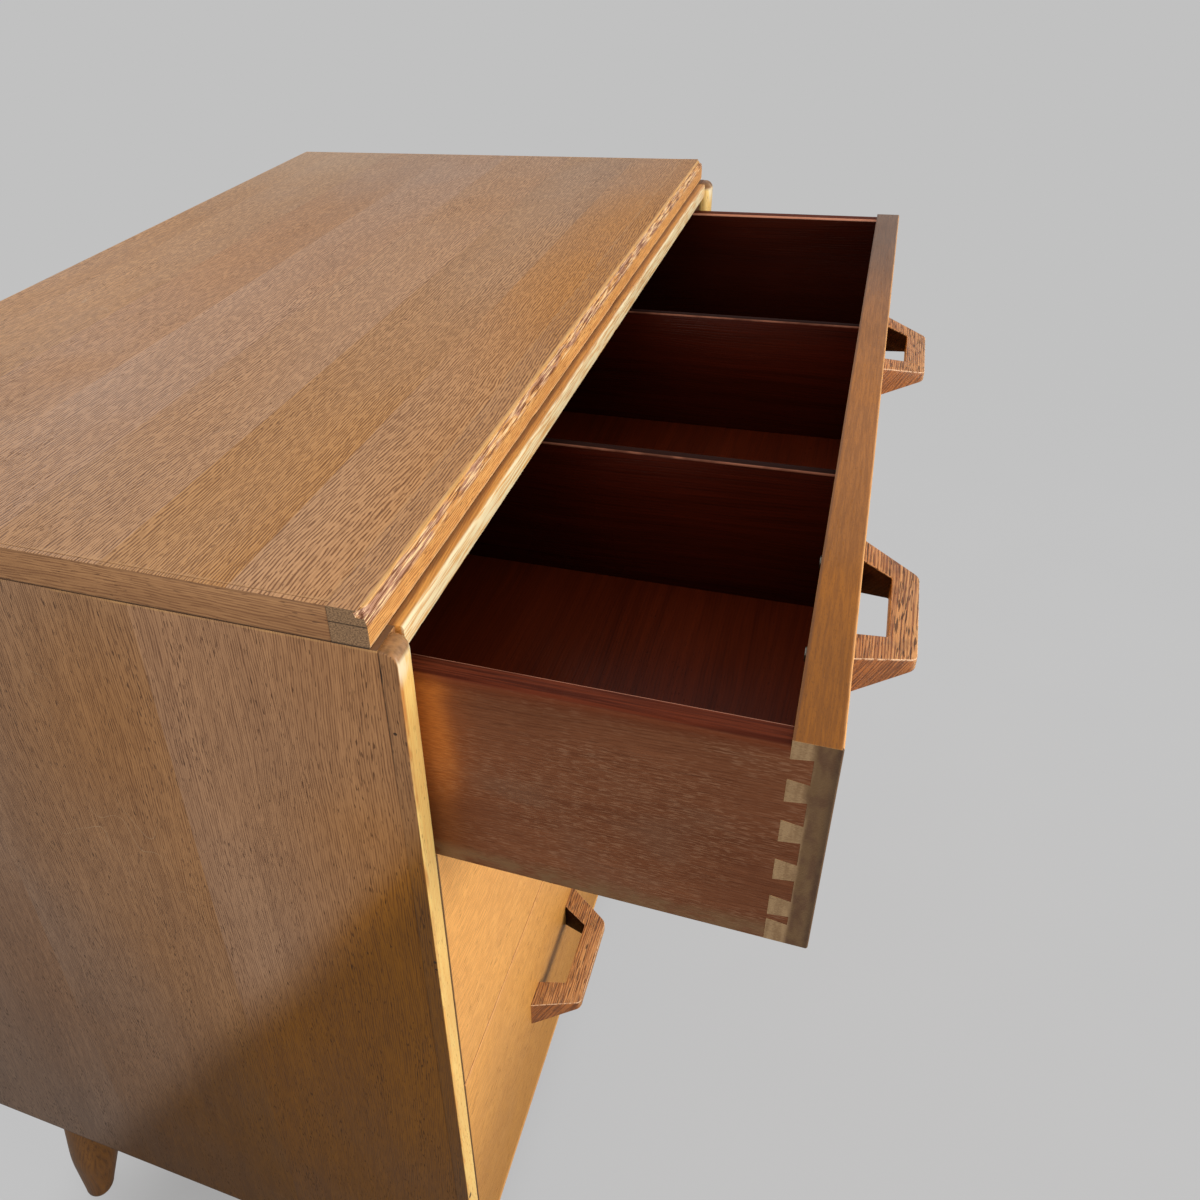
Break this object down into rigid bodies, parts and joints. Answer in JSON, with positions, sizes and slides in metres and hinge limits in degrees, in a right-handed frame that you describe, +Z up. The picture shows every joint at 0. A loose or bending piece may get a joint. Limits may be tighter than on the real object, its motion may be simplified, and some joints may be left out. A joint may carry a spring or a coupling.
{
  "type": "chest of drawers",
  "caption": "Low wooden chest with full-width drawers stacked in a plain case on short splayed turned legs; the top drawer has compartments and lapped dovetails.",
  "frame": {"origin": "middle of the bottom of the whole outline, on the floor, with the top drawer pulled out as stored", "axes": "+Z up, -Y out of the drawer fronts, +X to the right as seen from the front"},
  "size_m": [0.7636, 0.6532, 0.74],
  "materials": {
    "top_veneer": "worn satin oil finish on oak veneer",
    "top_edge": "worn satin oak edge",
    "side_veneer": "worn satin oil finish on oak veneer, grain upright",
    "side_edge": "pale satin oak",
    "rail": "satin oak",
    "front_veneer": "golden satin oak veneer, grain level",
    "handle": "polished solid oak, worn at the edges",
    "drawer_box": "matt softer timber",
    "drawer_floor": "varnished plywood",
    "divider": "varnished timber",
    "inner_timber": "bare planed timber",
    "back_board": "bare plywood",
    "leg": "satin turned oak",
    "screw": "dulled steel",
    "pin": "dulled steel",
    "leg_plate": "dulled pressed steel"
  },
  "bodies": {
    "carcass": {"back_panel": "back_board", "back_pins": "pin", "base_board": "inner_timber", "bottom_front_rail": "rail", "drawer_stops": "inner_timber", "front_left_leg": "leg", "front_leg_batten": "inner_timber", "front_right_leg": "leg", "left_kicker": "inner_timber", "left_side": "side_veneer", "left_side_lipping": "side_edge", "leg_plate_screws": "screw", "leg_plates": "leg_plate", "lower_left_runner": "inner_timber", "lower_right_runner": "inner_timber", "rear_left_leg": "leg", "rear_leg_batten": "inner_timber", "rear_right_leg": "leg", "right_kicker": "inner_timber", "right_side": "side_veneer", "right_side_lipping": "side_edge", "top_back_rail": "inner_timber", "top_front_lipping": "top_edge", "top_front_rail": "rail", "top_left_edging": "top_edge", "top_panel": "top_veneer", "top_right_edging": "top_edge", "upper_left_runner": "inner_timber", "upper_right_runner": "inner_timber"},
    "top_drawer": {"top_drawer_back": "drawer_box", "top_drawer_bottom": "drawer_floor", "top_drawer_front": "front_veneer", "top_drawer_handle_screws": "screw", "top_drawer_left_divider": "divider", "top_drawer_left_handle": "handle", "top_drawer_left_side": "drawer_box", "top_drawer_right_divider": "divider", "top_drawer_right_handle": "handle", "top_drawer_right_side": "drawer_box"},
    "middle_drawer": {"middle_drawer_back": "drawer_box", "middle_drawer_bottom": "drawer_floor", "middle_drawer_front": "front_veneer", "middle_drawer_handle_screws": "screw", "middle_drawer_left_handle": "handle", "middle_drawer_left_side": "drawer_box", "middle_drawer_right_handle": "handle", "middle_drawer_right_side": "drawer_box"},
    "bottom_drawer": {"bottom_drawer_back": "drawer_box", "bottom_drawer_bottom": "drawer_floor", "bottom_drawer_front": "front_veneer", "bottom_drawer_handle_screws": "screw", "bottom_drawer_left_handle": "handle", "bottom_drawer_left_side": "drawer_box", "bottom_drawer_right_handle": "handle", "bottom_drawer_right_side": "drawer_box"}
  },
  "joints": [
    {"name": "top_drawer_slide", "type": "slide", "parent": "carcass", "child": "top_drawer", "axis": [0, -1, 0], "range_m": [-0.177, 0.123]},
    {"name": "middle_drawer_slide", "type": "slide", "parent": "carcass", "child": "middle_drawer", "axis": [0, -1, 0], "range_m": [0, 0.3]},
    {"name": "bottom_drawer_slide", "type": "slide", "parent": "carcass", "child": "bottom_drawer", "axis": [0, -1, 0], "range_m": [0, 0.3]}
  ]
}
